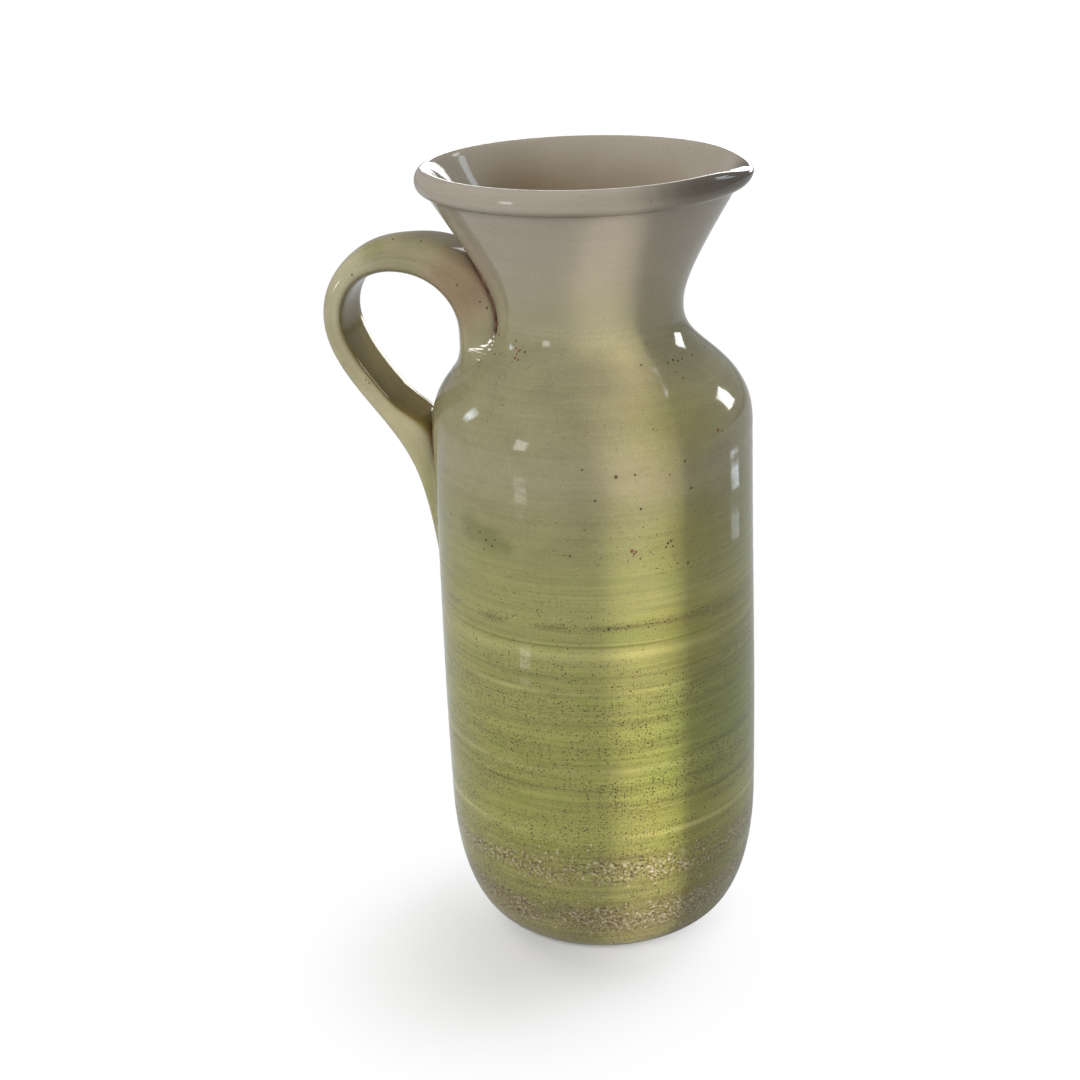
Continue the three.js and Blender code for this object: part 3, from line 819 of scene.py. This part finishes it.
def slip_bead(name):
    """Fired slip under thin glaze: brown, mottled with noise, paler where the glaze lies thicker."""
    material, shader, here = new_finish(name)
    cloud = here.noise(260, 3.0)
    colour = cloud.ramp([(0.30, paint(44, 28, 20)), (0.50, paint(74, 48, 36)), (0.72, paint(108, 84, 62))])
    colour.into(shader, "Base Color")
    (cloud * 0.2 + 0.12).into(shader, "Roughness")
    grain = here.noise(900, 2.0)
    bump = here.node("ShaderNodeBump", {}, {"Strength": 0.4, "Distance": 0.0003, "Height": grain})
    bump.into(shader, "Normal")
    return material


root_loop = crease_loop(strap_points, ROOT_ROWS)
tail_loop = crease_loop(strap_points[::-1], TAIL_ROWS)
upper_slip = shell("upper_slip_bead", bead(root_loop, smooth(root_loop[:, 2], *ROOT_CREASE)), loop=True)
lower_slip = shell("lower_slip_bead", bead(tail_loop, smooth(tail_loop[:, 2], *TAIL_CREASE)), loop=True)
thin_glaze = slip_bead("slip_thin_glaze")
for piece, node in ((upper_slip, "upper_slip"), (lower_slip, "lower_slip")):
    piece.data.materials.append(thin_glaze)
    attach(piece, "root")
    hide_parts(node)


# Studio. A wide pale floor, an even white room and five soft lamps. Two narrow lamps lay a warm upright
# band on the right of the jug, and small window panes that only the glaze mirrors give it its highlights.
FLOOR_REACH = 6.0
FLOOR_LIT = (0.45, 0.45, 0.45, 1)
FLOOR_SEEN = (0.66, 0.66, 0.66, 1)
ROOM_TINT = (0.95, 0.97, 1.0, 1)
WHITE = (1, 1, 1, 1)
WHITE_IN_GLAZE = 0.15
# Painted shadow: by the foot, in front and to the left around SHADE_PLACE, only this share of the floor
# turns white, so the floor stays grey there.
WHITE_BY_FOOT = 0.05
SHADE_PLACE = seen_from(-0.027, -0.045, 0)
SHADE_REACH = 0.095


def rays(start, kind):
    """1 for rays of that kind, such as those from the camera, and 0 for others."""
    return start.node("ShaderNodeLightPath", {}, {}, "Is %s Ray" % kind)


def whitened(start):
    """How far a ray meets plain white: wholly from the camera, a small share if mirrored or let through."""
    indirect = rays(start, "Glossy").most(rays(start, "Transmission"))
    return rays(start, "Camera").most(indirect * WHITE_IN_GLAZE)


floor_mesh = bpy.data.meshes.new("floor")
edge = np.array([-FLOOR_REACH, FLOOR_REACH])
floor_x, floor_y = np.meshgrid(edge, edge)
floor_points = np.stack([floor_x, floor_y, 0 * floor_x], -1).reshape(-1, 3)
floor_mesh.from_pydata(floor_points.tolist(), [], [(0, 1, 3, 2)])
floor = bpy.data.objects.new("floor", floor_mesh)
bpy.context.scene.collection.objects.link(floor)

pale = bpy.data.materials.new("pale_floor")
pale.use_nodes = True
start = Tone(pale.node_tree)
tones = {0: rays(start, "Camera"), 6: FLOOR_LIT, 7: FLOOR_SEEN}
floor_tone = start.node("ShaderNodeMix", {"data_type": "RGBA"}, tones, 2)
matt_floor = start.node("ShaderNodeBsdfDiffuse", {}, {"Color": floor_tone})
white_floor = start.node("ShaderNodeEmission", {}, {"Color": WHITE, "Strength": 1.0})
# Painted shadow: the floor is grey at SHADE_PLACE and turns white towards SHADE_REACH from it.
far = start.node("ShaderNodeTexCoord", {}, {}, "Object").distance(SHADE_PLACE).rise(0.0, SHADE_REACH)
white = whitened(start) * (far * (1 - WHITE_BY_FOOT) + WHITE_BY_FOOT)
floor_mix = start.node("ShaderNodeMixShader", {}, {0: white, 1: matt_floor, 2: white_floor})
floor_mix.into(pale.node_tree.nodes["Material Output"], "Surface")
floor_mesh.materials.append(pale)

room = bpy.data.worlds.new("room")
bpy.context.scene.world = room
room.use_nodes = True
start = Tone(room.node_tree)
outward = start.node("ShaderNodeTexCoord", {}, {}, "Generated")
upward = start.node("ShaderNodeSeparateXYZ", {}, {0: outward}, 2)
room_light = (upward.rise(0.5, 0.0) * 0.42 + 0.14) * (1 - rays(start, "Glossy") * 0.5)
soft_room = start.node("ShaderNodeBackground", {}, {"Color": ROOM_TINT, "Strength": room_light})
white_room = start.node("ShaderNodeBackground", {}, {"Color": WHITE, "Strength": 1.0})
room_mix = start.node("ShaderNodeMixShader", {}, {0: whitened(start), 1: soft_room, 2: white_room})
room_mix.into(room.node_tree.nodes["World Output"], "Surface")


def pointing(place, target):
    """Axes of a lamp or camera at place that looks along -z at target, with x level."""
    back = np.subtract(place, target)
    back = back / np.linalg.norm(back)
    side = np.cross((0, 0, 1), back)
    side /= np.linalg.norm(side)
    return side, np.cross(back, side), back


def placed(thing, place, axes):
    """Sets an object's axes and place: the columns of its matrix."""
    matrix = np.eye(4)
    matrix[:3, :3] = np.stack(axes, 1)
    matrix[:3, 3] = place
    thing.matrix_world = Matrix(matrix.tolist())


def lamp(name, place, target, size, power, colour=(1, 1, 1), spread=math.pi, roll=0.0):
    """Soft lamp at place, turned to target and rolled about that line. It lights surfaces and isn't mirrored
    in the glaze."""
    light = bpy.data.lights.new(name, "AREA")
    light.shape = "RECTANGLE"
    light.size, light.size_y = size
    light.energy = power
    light.color = colour
    light.spread = spread
    thing = bpy.data.objects.new(name, light)
    thing.visible_camera = False
    thing.visible_glossy = False
    bpy.context.scene.collection.objects.link(thing)
    side, up, back = pointing(place, target)
    c, s = math.cos(roll), math.sin(roll)
    placed(thing, place, (c * side + s * up, c * up - s * side, back))
    return thing


def pane(name, pieces, spot, direction, away, size, glow, colour=(1, 1, 1), spread=math.pi):
    """Window pane that only the glaze of those pieces mirrors: away from a spot on the jug, in a direction.
    A narrow spread keeps its image near the spot."""
    place = np.add(spot, np.multiply(direction, away))
    thing = lamp(name, place, spot, size, math.pi * size[0] * size[1] * glow, colour, spread)
    thing.visible_glossy = True
    thing.visible_diffuse = False
    mirrors = bpy.data.collections.new(name)
    for piece in pieces:
        mirrors.objects.link(piece)
    thing.light_linking.receiver_collection = mirrors


def glint(piece, pixel):
    """The spot on the piece at a pixel of the photo, and the line of sight s mirrored there, s - 2 (s.n) n.
    The normal n is the mean of the face's corner normals, each weighted by one over its distance."""
    spot, sight, face = sighted(piece, *pixel)
    corners = [piece.data.vertices[k] for k in face.vertices]
    gaps = [np.linalg.norm(np.subtract(spot, corner.co)) for corner in corners]
    normal = sum(np.array(corner.normal) / gap for corner, gap in zip(corners, gaps))
    normal /= np.linalg.norm(normal)
    return spot, sight - 2 * sight.dot(normal) * normal


lamp("soft_left", seen_from(-1.0, -1.35, 1.25), (0, 0, 0.12), (1.1, 1.1), 45)
lamp("cool_back", seen_from(0.65, 0.60, 2.1), (0, 0, 0.10), (0.7, 0.7), 22, (0.90, 0.95, 1.0))
lamp("cool_side", seen_from(1.6, 0.65, 0.55), (0, 0, 0.14), (0.8, 0.8), 10, (0.80, 0.92, 1.0))
lamp("warm_fill", seen_from(1.4, -0.9, 0.8), (0, 0, 0.16), (0.8, 0.8), 5.5, (1.0, 0.95, 0.80))
lamp("soft_crown", seen_from(-1.1, 0.7, 1.5), (0, 0, 0.20), (0.8, 0.8), 8.5, (1.0, 0.98, 0.94))

BEAM_TURN = math.radians(42)
BEAM_AWAY = 0.40
BEAM_SPREAD = math.radians(2.5)
BEAM_WARM = (1.0, 0.95, 0.85)
beam_across = np.array([math.cos(BEAM_TURN), math.sin(BEAM_TURN)])
beam_out = np.array([math.sin(BEAM_TURN), -math.cos(BEAM_TURN)])
for name, side, height, size, power, roll in (
        ("warm_beam", -0.0238, 0.104, (0.0205, 0.216), 0.0160, 0.0),
        ("warm_beam_high", -0.0195, 0.243, (0.0135, 0.060), 0.0025, 0.16)):
    middle = side * beam_across
    lamp(name, seen_from(*(middle + BEAM_AWAY * beam_out), height), seen_from(*middle, height),
         size, power, BEAM_WARM, BEAM_SPREAD, roll)

COOL_GLASS = (0.80, 0.90, 1.0)
BLUE_GLASS = (0.72, 0.86, 1.0)
WARM_GLASS = (1.0, 0.97, 0.86)
# Pixel across and pixel down of each highlight that a pane is placed by.
FRONT_GLINT = (520, 446)
LEFT_GLINT = (470, 416)
BACK_GLINT = (726, 398)
TOP_GLINT = (655, 370)
MOUTH_GLINT = (470, 176)
LIP_GLINT = (721, 177)
LOW_GLINT_A = (520, 491)
LOW_GLINT_B = (525, 664)
LOW_GLINT_C = (735, 470)
LOW_GLINT_D = (735, 521)
ROOT_GLINT = (484, 346)
pane("front_pane", [body, collar], *glint(body, FRONT_GLINT), 0.9, (0.15, 0.20), 6)
pane("left_pane", [body], *glint(body, LEFT_GLINT), 0.15, (0.024, 0.050), 0.12, COOL_GLASS,
     math.radians(20))
pane("back_pane", [body], *glint(body, BACK_GLINT), 0.9, (0.20, 0.26), 12)
pane("top_pane", [body], *glint(body, TOP_GLINT), 0.9, (0.06, 0.025), 10)
pane("sky_pane", [collar], (0, -0.042, 0.2795), (0.017, 0.987, 0.163), 1.5, (1.53, 0.32), 6)
pane("mouth_pane", [collar], *glint(collar, MOUTH_GLINT), 0.9, (0.11, 0.20), 4, BLUE_GLASS)
pane("lip_pane", [collar], *glint(collar, LIP_GLINT), 0.9, (0.11, 0.11), 5)
pane("low_pane_a", [body], *glint(body, LOW_GLINT_A), 0.30, (0.050, 0.009), 4)
pane("low_pane_b", [body], *glint(body, LOW_GLINT_B), 0.22, (0.034, 0.006), 4)
pane("low_pane_c", [body], *glint(body, LOW_GLINT_C), 0.22, (0.045, 0.011), 3.5, COOL_GLASS)
pane("low_pane_d", [body], *glint(body, LOW_GLINT_D), 0.22, (0.045, 0.013), 1.2, COOL_GLASS)
pane("root_pane", [handle], *glint(handle, ROOT_GLINT), 0.15, (0.034, 0.026), 0.4,
     spread=math.radians(22))
pane("grip_pane", [handle], (-0.0852, -0.0120, 0.2400), (-0.68, -0.72, 0.06), 0.25, (0.05, 0.07), 0.12,
     spread=math.radians(14))
pane("gap_pane_near", [handle], (-0.0650, -0.0080, 0.1950), (0.62, 0.68, 0.39), 0.9, (0.10, 0.14), 4,
     WARM_GLASS)
pane("gap_pane_far", [handle], (-0.0640, 0.0060, 0.1930), (0.15, 0.985, 0.05), 0.9, (0.25, 0.30), 5,
     WARM_GLASS)

camera_data = bpy.data.cameras.new("camera")
camera_data.lens = VIEW_LENS
camera_data.sensor_width = VIEW_SENSOR
camera = bpy.data.objects.new("camera", camera_data)
bpy.context.scene.collection.objects.link(camera)
placed(camera, view_place, (view_right, view_up, -view_ahead))
bpy.context.scene.camera = camera
bpy.context.scene.view_settings.view_transform = "Standard"
